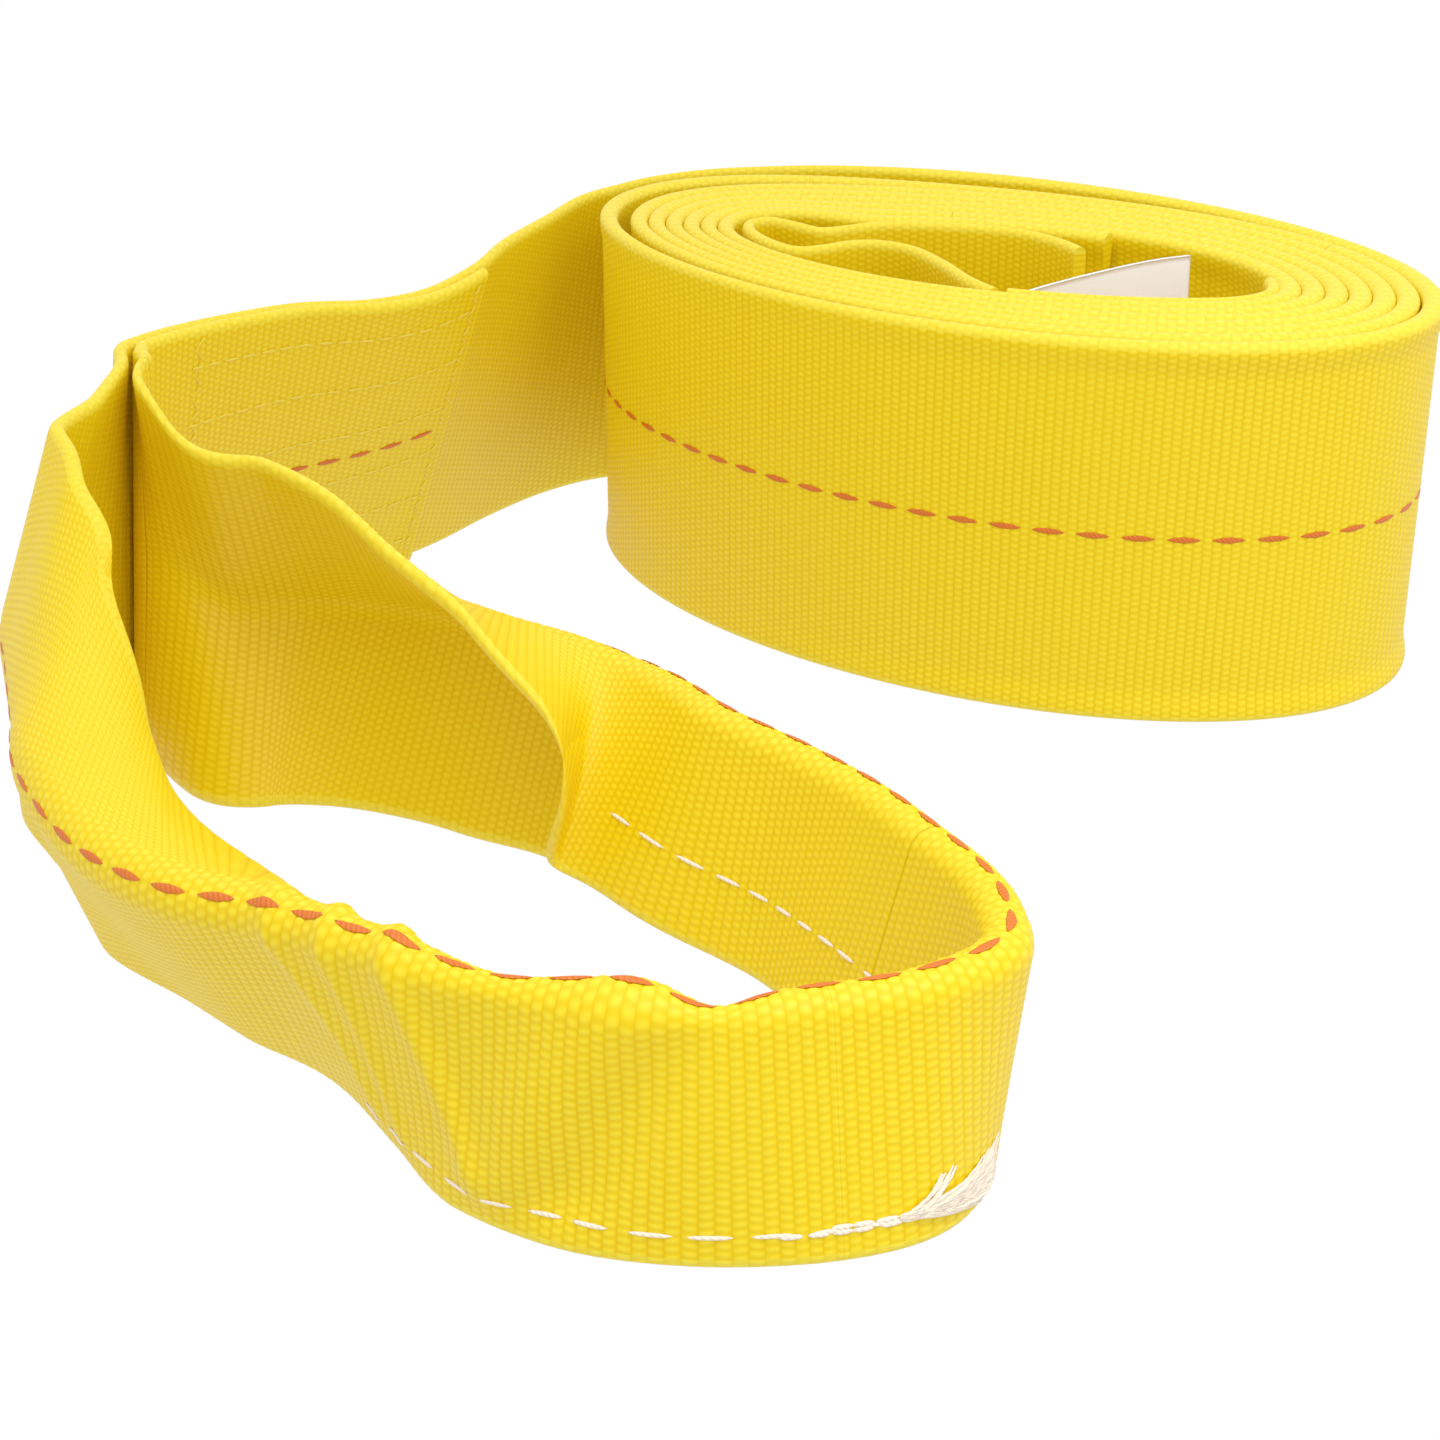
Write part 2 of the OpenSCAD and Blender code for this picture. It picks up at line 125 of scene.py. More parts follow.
FAR_ROWS = [
    (-25.7, -190.5, -17, 164, 0), (-33.3, -176, -19, 161, -1), (-43.5, -162.3, -19, 161, -4),
    (-56.3, -148.6, -17, 158, -2), (-64, -135.3, -22, 149, -1), (-72, -123.8, -28, 131, -10),
    (-81.7, -116.5, -26, 100, -19), (-93, -110, -26, 76, -19), (-103.6, -103.3, -26, 59, -18),
    (-118.2, -93.5, -33, 42, -10), (-133.3, -87.4, -40, 28, 0), (-147, -86.9, -40, 22, 2),
    (-157, -85.2, -18, 9, 1), (-163.2, -81, -6, -4, 0), (-166.2, -74.6, -5, -5, 0),
]
EYE_ROWS = NEAR_ROWS + BEARING_ROWS[1:] + FAR_ROWS[1:]
NEAR_LAST = len(NEAR_ROWS) - 1
BEARING_LAST = NEAR_LAST + len(BEARING_ROWS) - 1
EYE_LAST = len(EYE_ROWS) - 1
SEAM_FIRST, SEAM_END = 10, BEARING_LAST + 4
BACKTACK_ROW = NEAR_LAST + 0.8
SEAM_STITCH = 7.0       # from one stitch of the fold seam to the next, in mm
FAN_STRANDS = 200       # loose thread ends where that seam finishes

INNER_LEG_ROWS = [
    (-3.8, -34.2), (-8, -26), (-12, -14), (-17, -3), (-23.5, 2.5), (-30, 2.5), (-36, -1),
    (-42, -2.2), (-47.5, 4.6), (-50.8, 13), (-51, 20), (-46.5, 22.5), (-41, 18), (-36, 13.5),
    (-30, 15.5), (-24, 18.3), (-17, 18.8), (-8, 17.4), (2, 14.2), (8, 10.6), (12.5, 5.6),
    (15.5, 0.5), (17, -3),
]
INNER_FOLD_ROWS = [
    (17.2, -3.6), (19.2, -10.5), (22.3, -16.4), (26, -21), (30.8, -24), (36.2, -24.4),
    (40.8, -22.2), (43.6, -18.2), (42.8, -13.2), (38, -7.6), (32.2, -0.8), (24.5, 5.4),
]
TAG_ROWS = [(0.4, -32.6), (9, -26.6), (19, -20.6), (29, -15.6), (38.5, -12.4)]


# =========================== Shape helpers ===========================

def smoothstep(t):
    """0 below 0, 1 above 1, and a smooth rise between."""
    t = np.clip(t, 0, 1)
    return t * t * (3 - 2 * t)


def coil_point(phi, inset=0.0):
    """Points on the coil's oval spiral after phi turns inwards."""
    phi = np.asarray(phi, float)
    angle = np.radians(COIL_START - 360 * phi)
    lobe = lambda middle: np.maximum(0, np.cos(angle - math.radians(middle))) ** 2
    pitch = WRAP_PITCH - TIGHT_SIDE * lobe(-115) + LOOSE_END * lobe(160) ** 2
    slack = REAR_SLACK * lobe(130) * smoothstep((phi - 0.72) / 0.4)
    drop = SECOND_DROP * smoothstep((phi - 0.95) / 0.25)
    depth = pitch * np.maximum(0, phi - FREE_TURNS) + drop + slack + WEB_T / 2 + inset
    x = (COIL_LEN / 2 - depth) * np.cos(angle)
    y = (COIL_WID / 2 - depth) * np.sin(angle)
    c, s = math.cos(math.radians(COIL_YAW)), math.sin(math.radians(COIL_YAW))
    return np.stack([x * c - y * s, x * s + y * c], -1)


def wrap_gap(phi):
    """Air between one wrap and the next after phi turns."""
    angle = np.radians(COIL_START - 360 * np.asarray(phi, float))
    lobe = lambda middle: np.maximum(0, np.cos(angle - math.radians(middle))) ** 2
    return WRAP_PITCH - TIGHT_SIDE * lobe(-115) + LOOSE_END * lobe(160) ** 2 - WEB_T


def spline(rows, per=16):
    """Dense smooth course through the rows."""
    r = np.array(rows, float)
    r = np.vstack([2 * r[0] - r[1], r, 2 * r[-1] - r[-2]])
    t = (np.arange(per) / per)[:, None]
    parts = []
    for i in range(1, len(r) - 2):
        a, b, c, d = r[i - 1], r[i], r[i + 1], r[i + 2]
        parts.append(0.5 * (2 * b + (c - a) * t + (2 * a - 5 * b + 4 * c - d) * t ** 2
                            + (3 * b - a - 3 * c + d) * t ** 3))
    return np.vstack(parts + [r[-2:-1]])


def upright(points):
    """Course rows with no tilt through plan points."""
    points = np.asarray(points, float)
    return np.hstack([points, np.zeros((len(points), 3))])


def plan_heading(xy):
    """Unit direction of travel at each point of a plan course."""
    h = np.gradient(xy, axis=0)
    return h / np.linalg.norm(h, axis=1)[:, None]


def averaged(values, reach):
    """Each row of values averaged with the rows up to reach places before and after it."""
    padded = np.pad(values, ((reach, reach), (0, 0)), mode="edge")
    return sum(padded[k:k + len(values)] for k in range(2 * reach + 1)) / (2 * reach + 1)


def shifted(course, shift):
    """The course moved sideways, to the left of its travel when shift is positive."""
    h = plan_heading(course[:, :2])
    out = course.copy()
    out[:, :2] += shift * np.stack([-h[:, 1], h[:, 0]], 1)
    return out


def lengths(course):
    """Distance along the course to each of its points."""
    step = np.linalg.norm(np.diff(course[:, :2], axis=0), axis=1)
    return np.concatenate([[0], np.cumsum(step)])


class Course:
    """A smooth line of travel for the webbing, with its own distance scale s."""

    creased = False     # whether the near leg's creases are pressed into it

    def __init__(self, rows, start=0.0, soften=0):
        self.rows = rows
        self.known = lengths(rows) + start
        self.heading = averaged(plan_heading(rows[:, :2]), soften)

    def place(self, s):
        """x, y, low, up, rake, and the heading, at distances s."""
        r = np.stack([np.interp(s, self.known, self.rows[:, k]) for k in range(5)], 1)
        h = np.stack([np.interp(s, self.known, self.heading[:, k]) for k in range(2)], 1)
        return r, h / np.linalg.norm(h, axis=1)[:, None]

    @property
    def end(self):
        """Distance at the course's last point."""
        return self.known[-1]


def section(w, low, up, rake):
    """Mid-ply [across, up, tangent angle, along] at distances w from the tracer line."""
    middle = (low + up) / 2
    turn = (up - low) / 2 + 0.01
    rate = turn / FOLD_HALF
    rad = np.radians(rate)
    bent = np.clip(w, -FOLD_HALF, FOLD_HALF)
    angle = np.radians(middle + rate * bent)
    mid = np.radians(middle)
    beyond = w - bent
    over = w > FOLD_HALF
    keep = np.where(over, np.sqrt(np.clip(1 - (rake / HALF_W) ** 2, 0, 1)), 1.0)
    across = (np.cos(mid) - np.cos(angle)) / rad + beyond * keep * np.sin(angle)
    rise = (np.sin(angle) - np.sin(mid)) / rad + beyond * keep * np.cos(angle)
    along = np.where(over, rake * beyond / (HALF_W - FOLD_HALF), 0.0)
    return across, rise, angle, along


def lift(low, up, rake):
    """Height that puts the section's lowest corner on the floor."""
    w = np.array([[-HALF_W, 0.0, HALF_W]])
    _, rise, angle, _ = section(w, low, up, rake)
    return -np.minimum(rise - WEB_T / 2 * np.sin(angle), rise + WEB_T / 2 * np.sin(angle)).min(1)


def crease(s, w):
    """Outward push of the near leg's creases at distances s along and w across the web."""
    fade = smoothstep((CREASE_TOP + 4 - w) / 6) * smoothstep((w - CREASE_FOOT + 3) / 8)
    push = 0.0
    for s0, w0, lean, width, height in CREASES:
        away = (s - EYE_S - s0 - lean * (w - w0)) / (width * math.hypot(1, lean))
        push = push + height * np.exp(-away ** 2)
    return push * fade


def web_points(course, s, w, out, side=1):
    """Points at distances s along and w across the web, raised by out from mid-ply.

    Positive out is on the tracer's face. s is a column, w a row; both faces share the formula.
    """
    s = np.asarray(s, float)
    r, h = course.place(s)
    low, up, rake = r[:, 2:3], r[:, 3:4], r[:, 4:5]
    w = np.asarray(w, float)[None, :]
    across, rise, angle, along = section(w, low, up, rake)
    if course.creased:
        out = out + crease(s[:, None], w)
    reach = across - out * np.cos(angle)
    height = rise + out * np.sin(angle) + lift(low, up, rake)[:, None]
    nx, ny = -h[:, 1:2] * side, h[:, 0:1] * side
    x = r[:, 0:1] + nx * reach + h[:, 0:1] * along
    y = r[:, 1:2] + ny * reach + h[:, 1:2] * along
    return np.stack([x, y, height], -1)


def weave(s, w, fine=1.0):
    """Height of the weave above the web's plain face."""
    rib = s / RIB
    column = np.floor(rib)
    x = rib - column
    odd = np.mod(column, 2)
    crown = np.sqrt(np.clip(4 * x * (1 - x), 0, 1))
    phase = w / WARP + 0.5 * odd + SLANT * (x - 0.5) * (1 - 2 * odd)
    yarn = 0.5 + 0.5 * np.cos(2 * math.pi * phase)
    return crown * (RIB_RISE + fine * YARN_RISE * yarn)


# =========================== Mesh helpers ===========================

def new_object(name, verts, faces, material, uv=None):
    """A smooth mesh object from points in millimetres, with uv given for each point."""
    mesh = bpy.data.meshes.new(name)
    mesh.from_pydata((np.asarray(verts, float) * MM).tolist(), [], faces)
    mesh.materials.append(material)
    mesh.polygons.foreach_set("use_smooth", [True] * len(mesh.polygons))
    if uv is not None:
        layer = mesh.uv_layers.new(name="UVMap")
        index = np.zeros(len(mesh.loops), np.int32)
        mesh.loops.foreach_get("vertex_index", index)
        layer.data.foreach_set("uv", np.asarray(uv, np.float32)[index].ravel())
    mesh.update()
    obj = bpy.data.objects.new(name, mesh)
    bpy.context.collection.objects.link(obj)
    return obj


def across_samples(count):
    """Distances across the web: count spaces over the flat part, and a round selvedge."""
    edge = WEB_T / 2
    flat = np.linspace(-HALF_W + edge, HALF_W - edge, count + 1)
    turn = np.radians([22, 45, 66, 82])
    tips = HALF_W - edge + edge * np.sin(turn)
    return np.concatenate([-tips[::-1], flat, tips])


def half_thickness(w):
    """Half the ply's thickness, running out to nothing round the selvedge."""
    over = np.clip((np.abs(w) - (HALF_W - WEB_T / 2)) / (WEB_T / 2), 0, 1)
    return WEB_T / 2 * np.sqrt(1 - over ** 2)


def grid_faces(n, ring, base=0):
    """Faces of a tube of n rings of points, without its ends."""
    faces = []
    for i in range(n - 1):
        a = base + i * ring
        for k in range(ring):
            j = (k + 1) % ring
            faces.append((a + k, a + j, a + ring + j, a + ring + k))
    return faces


def end_faces(n, ring, base=0):
    """The two faces that close a tube of n rings."""
    last = base + (n - 1) * ring
    return [tuple(base + k for k in range(ring - 1, -1, -1)), tuple(last + k for k in range(ring))]


def web_piece(name, course, s0, s1, material, step=0.9, outer=60, inner=60, side=1,
              fine_out=1.0, fine_in=1.0, bead=None):
    """A closed piece of webbing from s0 to s1, with woven relief on both faces.

    bead gives how much the selvedges swell, at each s, where wraps press together.
    """
    first, last = math.ceil(s0 / step + 1e-6), math.floor(s1 / step - 1e-6)
    s = np.concatenate([[s0], np.arange(first, last + 1) * step, [s1]])
    s = np.unique(np.round(s, 5))
    w_in, w_out = across_samples(inner), across_samples(outer)[::-1]
    rim = np.clip((HALF_W - np.abs(np.concatenate([w_in, w_out]))) / 2.5, 0.35, 1)[None, :]
    w = np.concatenate([w_in, w_out])
    fine = np.concatenate([np.full(len(w_in), fine_in), np.full(len(w_out), fine_out)])[None, :]
    sign = np.concatenate([-np.ones(len(w_in)), np.ones(len(w_out))])[None, :]
    relief = weave(s[:, None] + (sign < 0) * RIB / 2, w[None, :], fine) * rim
    out = half_thickness(w)[None, :] - RIB_RISE + relief
    if bead is not None:
        swell = smoothstep((np.abs(w) - HALF_W + BEAD_DEPTH) / (BEAD_DEPTH - 1.5))
        out = out + bead(s)[:, None] * (swell * half_thickness(w) / (WEB_T / 2))[None, :]
    points = web_points(course, s, w, sign * out, side)
    n, ring = points.shape[:2]
    verts = points.reshape(-1, 3)
    faces = grid_faces(n, ring) + end_faces(n, ring)
    if side < 0:
        faces = [f[::-1] for f in faces]
    uv = np.stack([np.repeat(s, ring), np.tile(w, n)], 1)
    obj = new_object(name, verts, faces, material, uv)
    for cap in (-2, -1):    # flat ends, so no shading line shows where the next piece starts
        obj.data.polygons[len(faces) + cap].use_smooth = False
    return obj


def lens_row(name, course, places, w, length, width, rise, base, material, side=1, face=1,
             slant=0.0, ends=0.12, jitter=0.0, blunt=2.2):
    """A row of lens-shaped thread floats lying on one face of the web."""
    along = np.linspace(-0.5, 0.5, 9)
    fat = np.sqrt(np.clip(1 - (2 * np.abs(along)) ** blunt, 0, 1)) * (1 - ends) + ends
    turn = np.linspace(0, math.pi, 6)
    verts, faces, uv = [], [], []
    for at in places:
        shift = rng.normal(0, jitter) if jitter else 0.0
        s = at + shift + along * length
        base_index = len(verts)
        for si, f, a in zip(s, fat, along):
            ws = w + slant * a + np.cos(turn) * width / 2 * f
            out = face * (WEB_T / 2 + base + np.sin(turn) * rise * f)
            p = web_points(course, [si], ws, out[None, :], side)[0]
            verts.extend(p.tolist())
            uv.extend([(si, wi) for wi in ws])
        ring = len(turn)
        faces.extend(grid_faces(len(s), ring, base_index))
        faces.extend(end_faces(len(s), ring, base_index))
    return new_object(name, verts, faces, material, uv)


def join(name, objs):
    """Joins finished pieces that share a material into one piece."""
    verts, faces, uv = [], [], []
    for o in objs:
        base = len(verts)
        me = o.data
        verts.extend([tuple(v.co) for v in me.vertices])
        faces.extend([tuple(base + i for i in p.vertices) for p in me.polygons])
        loops = me.uv_layers[0].data
        got = {}
        for loop in me.loops:
            got[loop.vertex_index] = tuple(loops[loop.index].uv)
        uv.extend([got[i] for i in range(len(me.vertices))])
    material = objs[0].data.materials[0]
    for o in objs:
        bpy.data.objects.remove(o)
    return new_object(name, np.array(verts) / MM, faces, material, uv)


# =========================== Materials ===========================

def node_math(tree, op, a, b=None, c=None):
    """One maths node; each input is a number or another node's output."""
    n = tree.nodes.new("ShaderNodeMath")
    n.operation = op
    for i, v in enumerate((a, b, c)):
        if v is None:
            continue
        if isinstance(v, (int, float)):
            n.inputs[i].default_value = v
        else:
            tree.links.new(v, n.inputs[i])
    return n.outputs[0]


def mix_colour(tree, factor, a, b):
    """Colour a at factor 0 and b at factor 1."""
    n = tree.nodes.new("ShaderNodeMix")
    n.data_type = "RGBA"
    if isinstance(factor, (int, float)):
        n.inputs[0].default_value = factor
    else:
        tree.links.new(factor, n.inputs[0])
    for socket, v in ((n.inputs[6], a), (n.inputs[7], b)):
        if isinstance(v, tuple):
            socket.default_value = (*v, 1)
        else:
            tree.links.new(v, socket)
    return n.outputs[2]


def srgb(r, g, b):
    """Linear colour of a screen colour given in 0..255."""
    return tuple(((c / 255 + 0.055) / 1.055) ** 2.4 if c > 10 else c / 255 / 12.92
                 for c in (r, g, b))


def noise(tree, coords, scale, detail=3.0):
    """Soft random variation of about scale blobs to the metre."""
    n = tree.nodes.new("ShaderNodeTexNoise")
    n.inputs["Scale"].default_value = scale
    n.inputs["Detail"].default_value = detail
    tree.links.new(coords, n.inputs["Vector"])
    return n.outputs["Fac"]


def new_material(name, roughness, sheen=0.0, specular=0.5):
    """A material, its node tree and its shader node."""
    m = bpy.data.materials.new(name)
    m.use_nodes = True
    shader = m.node_tree.nodes["Principled BSDF"]
    shader.inputs["Roughness"].default_value = roughness
    shader.inputs["Specular IOR Level"].default_value = specular
    shader.inputs["Sheen Weight"].default_value = sheen
    shader.inputs["Sheen Roughness"].default_value = 0.5
    return m, m.node_tree, shader


WEB_LIT_CREST = srgb(241, 206, 0)       # crest of a yarn float, painted lighter as if lit
WEB_SHADED_HOLLOW = srgb(214, 162, 0)        # between the floats, painted shade in the hollows
WEB_PALE = srgb(238, 218, 40)       # where the surface is rubbed
WEB_WARM = srgb(228, 192, 1)       # slightly deeper dye


def webbing_material():
    """Dyed polyester: ribs of yarn floats with painted light on their crests and painted shade in the
    hollows between them, rubbed selvedges.
    """
    m, tree, shader = new_material("polyester_webbing", 0.55)
    uv = tree.nodes.new("ShaderNodeUVMap")
    uv.uv_map = "UVMap"
    split = tree.nodes.new("ShaderNodeSeparateXYZ")
    tree.links.new(uv.outputs[0], split.inputs[0])
    s, w = split.outputs[0], split.outputs[1]
    mm = lambda op, a, b=None, c=None: node_math(tree, op, a, b, c)
    rib = mm("DIVIDE", s, RIB)
    column = mm("FLOOR", rib)
    x = mm("SUBTRACT", rib, column)
    odd = mm("MODULO", mm("ABSOLUTE", column), 2.0)
    crown = mm("POWER", mm("MULTIPLY", mm("MULTIPLY", x, 4.0), mm("SUBTRACT", 1.0, x)), 0.5)
    lean = mm("MULTIPLY", mm("MULTIPLY", mm("SUBTRACT", x, 0.5), SLANT),
              mm("SUBTRACT", 1.0, mm("MULTIPLY", odd, 2.0)))
    phase = mm("ADD", mm("ADD", mm("DIVIDE", w, WARP), mm("MULTIPLY", odd, 0.5)), lean)
    yarn = mm("MULTIPLY_ADD", mm("COSINE", mm("MULTIPLY", phase, 2 * math.pi)), 0.5, 0.5)
    float_height = mm("MULTIPLY", crown, mm("MULTIPLY_ADD", yarn, 0.6, 0.4))
    geometry = tree.nodes.new("ShaderNodeTexCoord")
    place = geometry.outputs["Object"]
    soft = noise(tree, place, 22.0, 3.0)
    fuzz = noise(tree, place, 900.0, 2.0)
    # Painted light and shade on the weave: crests lighter, hollows between the floats darker and more
    # orange.
    colour = mix_colour(tree, float_height, WEB_SHADED_HOLLOW, WEB_LIT_CREST)
    warm = mm("MULTIPLY", mm("SUBTRACT", soft, 0.35), 0.9)
    colour = mix_colour(tree, mm("MINIMUM", mm("MAXIMUM", warm, 0.0), 0.5), colour, WEB_WARM)
    edge = mm("GREATER_THAN", mm("ABSOLUTE", w), HALF_W - 1.6)
    rubbed = mm("MULTIPLY", edge, mm("MULTIPLY", fuzz, 0.8))
    colour = mix_colour(tree, rubbed, colour, WEB_PALE)
    tree.links.new(colour, shader.inputs["Base Color"])
    height = mm("ADD", float_height, mm("MULTIPLY", fuzz, 0.35))
    bump = tree.nodes.new("ShaderNodeBump")
    bump.inputs["Strength"].default_value = 0.4
    bump.inputs["Distance"].default_value = 0.0002
    tree.links.new(height, bump.inputs["Height"])
    tree.links.new(bump.outputs[0], shader.inputs["Normal"])
    tree.links.new(mm("MULTIPLY_ADD", fuzz, 0.2, 0.42), shader.inputs["Roughness"])
    tree.links.new(mm("MULTIPLY_ADD", float_height, 0.16, 0.02),
                   shader.inputs["Specular IOR Level"])
    return m


def thread_material(name, light, dark, twist, roughness=0.45):
    """Twisted thread: fine slanting stripes along the stitch, and a little variation."""
    m, tree, shader = new_material(name, roughness, specular=0.15)
    uv = tree.nodes.new("ShaderNodeUVMap")
    uv.uv_map = "UVMap"
    split = tree.nodes.new("ShaderNodeSeparateXYZ")
    tree.links.new(uv.outputs[0], split.inputs[0])
    mm = lambda op, a, b=None, c=None: node_math(tree, op, a, b, c)
    phase = mm("MULTIPLY", mm("ADD", split.outputs[0], split.outputs[1]), 2 * math.pi / twist)
    strand = mm("MULTIPLY_ADD", mm("SINE", phase), 0.5, 0.5)
    place = tree.nodes.new("ShaderNodeTexCoord").outputs["Object"]
    grain = noise(tree, place, 400.0, 2.0)
    factor = mm("MULTIPLY", mm("ADD", strand, grain), 0.5)
    tree.links.new(mix_colour(tree, factor, dark, light), shader.inputs["Base Color"])
    bump = tree.nodes.new("ShaderNodeBump")
    bump.inputs["Strength"].default_value = 0.5
    bump.inputs["Distance"].default_value = 0.0002
    tree.links.new(strand, bump.inputs["Height"])
    tree.links.new(bump.outputs[0], shader.inputs["Normal"])
    return m


def tag_material():
    """Satin label cloth: fine crosswise grain, soft sheen, faint creases."""
    m, tree, shader = new_material("tag_satin", 0.4, sheen=0.3)
    place = tree.nodes.new("ShaderNodeTexCoord").outputs["Object"]
    cloud = noise(tree, place, 60.0, 2.0)
    grain = noise(tree, place, 1500.0, 1.0)
    colour = mix_colour(tree, cloud, srgb(254, 252, 250), srgb(244, 240, 238))
    tree.links.new(colour, shader.inputs["Base Color"])
    bump = tree.nodes.new("ShaderNodeBump")
    bump.inputs["Strength"].default_value = 0.25
    bump.inputs["Distance"].default_value = 0.0002
    tree.links.new(node_math(tree, "MULTIPLY_ADD", cloud, 2.0, grain), bump.inputs["Height"])
    tree.links.new(bump.outputs[0], shader.inputs["Normal"])
    return m


WEBBING = webbing_material()
TRACER = thread_material("tracer_yarn", srgb(212, 92, 0), srgb(190, 66, 0), 0.9)
LAP_THREAD = thread_material("lap_thread", srgb(244, 218, 60), srgb(232, 194, 24), 0.7)
# White thread; both colours carry a painted warm reflection of light bounced off the yellow web.
SEAM_THREAD_PAINTED_BOUNCE = thread_material("seam_thread", srgb(252, 236, 212), srgb(238, 212, 176), 0.9)
TAG_CLOTH = tag_material()

# =========================== The web's course ===========================


def master_course():
    """One line of travel: out of the coil, along the lead, round the eye and back up the lap."""
    coil = upright(coil_point(np.linspace(OUTER_TURNS, LEAD_OUT, COIL_SAMPLES)))
    lead = shifted(spline(LEAD_ROWS), -PLY_STEP / 2)
    eye = spline(EYE_ROWS)
    lap_rows = spline(LEAD_ROWS)[LAP_FIRST_ROW * 16:]
    lap = shifted(lap_rows, PLY_STEP / 2)[::-1].copy()
    lap[:, 2:4] *= -1
    parts = [coil, lead, eye, lap]
    marks, total, joined = [], 0.0, []
    for part in parts:
        if joined:
            total += np.linalg.norm(part[0, :2] - joined[-1][-1, :2])
        marks.append(total)
        total += lengths(part)[-1]
        joined.append(part)
    rows = np.vstack(joined)
    return Course(rows, soften=6), marks


WEB, (COIL_S, LEAD_S, EYE_S, LAP_S) = master_course()
LAP_END = WEB.end
WEB.creased = True


def mark(part_start, rows, row, per=16, shift=0.0):
    """Distance along the whole web to a (fractional) row of one of its parts."""
    dense = shifted(spline(rows, per), shift)
    return part_start + np.interp(row * per, np.arange(len(dense)), lengths(dense))


def valley(s):
    """Nearest valley between two ribs of the outer face; there the inner face has a crest."""
    return round(s / RIB) * RIB


def crest(s):
    """Nearest crest of a rib of the outer face, where a change of piece doesn't show."""
    return (math.floor(s / RIB) + 0.5) * RIB


def lead_s(row):
    """Distance along the web to a row of the lead."""
    return mark(LEAD_S, LEAD_ROWS, row, shift=-PLY_STEP / 2)


def eye_s(row):
    """Distance along the web to a row of the outer eye."""
    return mark(EYE_S, EYE_ROWS, row)


def rest_point(s):
    """The web's middle at distance s, in metres."""
    return web_points(WEB, [s], [0.0], np.zeros((1, 1)))[0, 0] * MM


def bends(obj, a, b, s0, s1):
    """Bakes the piece's placement into its mesh; bodies a and b and distances s0 and s1 are not used.
    """
    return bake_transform(obj, a, b, tuple(rest_point(s0)), tuple(rest_point(s1)))


# =========================== Pieces ===========================

def coil_bead(known, phi):
    """Selvedge swelling along a coil course whose turns phi belong to distances known."""
    def bead(at):
        """Swelling at a distance along the course."""
        swell = np.minimum(BEAD_MAX, BEAD_SHARE * wrap_gap(np.interp(at, known, phi)))
        return swell * smoothstep((LEAD_S - LEAD_CUT - at) / BEAD_FADE)
    return bead


def build_outer_wrap():
    """The outermost wrap and the part of the next that shows behind it."""
    phi = np.linspace(OUTER_TURNS, LEAD_OUT, COIL_SAMPLES)
    bead = coil_bead(WEB.known[:COIL_SAMPLES], phi)
    front = web_piece("coil_outer_wrap", WEB, crest(FULL_TURN), crest(LEAD_S - LEAD_CUT), WEBBING,
                      step=FINE_STEP, outer=96, inner=24, fine_in=0, bead=bead)
    back = web_piece("coil_second_wrap", WEB, COIL_S, crest(FULL_TURN), WEBBING, outer=30,
                     inner=24, fine_out=0, fine_in=0, bead=bead)
    for o in (front, back):
        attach(o, "coil")


def build_inner_wraps():
    """The wraps below the outermost, down to the second lap's mouth, and the outer leg."""
    phi = np.linspace(FOLD_IN, OUTER_TURNS, 1400)
    rows = upright(coil_point(phi))
    course = Course(rows, start=-lengths(rows)[-1])
    bead = coil_bead(course.known, phi)
    split = course.known[0] + 330
    seen = web_piece("coil_innermost_wrap", course, course.known[0], split, WEBBING,
                     step=PLAIN_STEP, outer=24, inner=60, fine_out=0, bead=bead)
    rest = web_piece("coil_inner_wraps", course, split, course.end, WEBBING, step=PLAIN_STEP,
                     outer=22, inner=22, fine_out=0, fine_in=0, bead=bead)
    for o in (seen, rest):
        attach(o, "coil")
    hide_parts("coil_webbing", "inner_eye_outer_leg")


def lap_row_w(k):
    """Distance of a lap's k-th lengthwise row from the web's middle."""
    return (k - (LAP_ROWS - 1) / 2) * LAP_ROW_STEP


def build_second_lap():
    """The hidden sewn lap of the second eye."""
    phi = np.linspace(MOUTH_IN, LAP_IN, 60)
    course = Course(upright(coil_point(phi, PLY_STEP)), start=-100.0)
    lap = web_piece("second_lap_ply", course, course.known[0], course.end, WEBBING,
                    step=PLAIN_STEP, outer=12, inner=60, fine_out=0)
    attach(lap, "coil")
    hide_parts("inner_lap_webbing")
    stitches = []
    places = np.arange(course.known[0] + 4, course.end - 4, LAP_PITCH)
    for k in range(LAP_ROWS):
        stitches.append(lens_row("s%d" % k, course, places, lap_row_w(k), 4.2, 1.0, 0.45, 0.05,
                                 LAP_THREAD, face=-1))
    thread = join("second_lap_stitching", stitches)
    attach(thread, "coil")
    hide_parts("inner_lap_stitching")


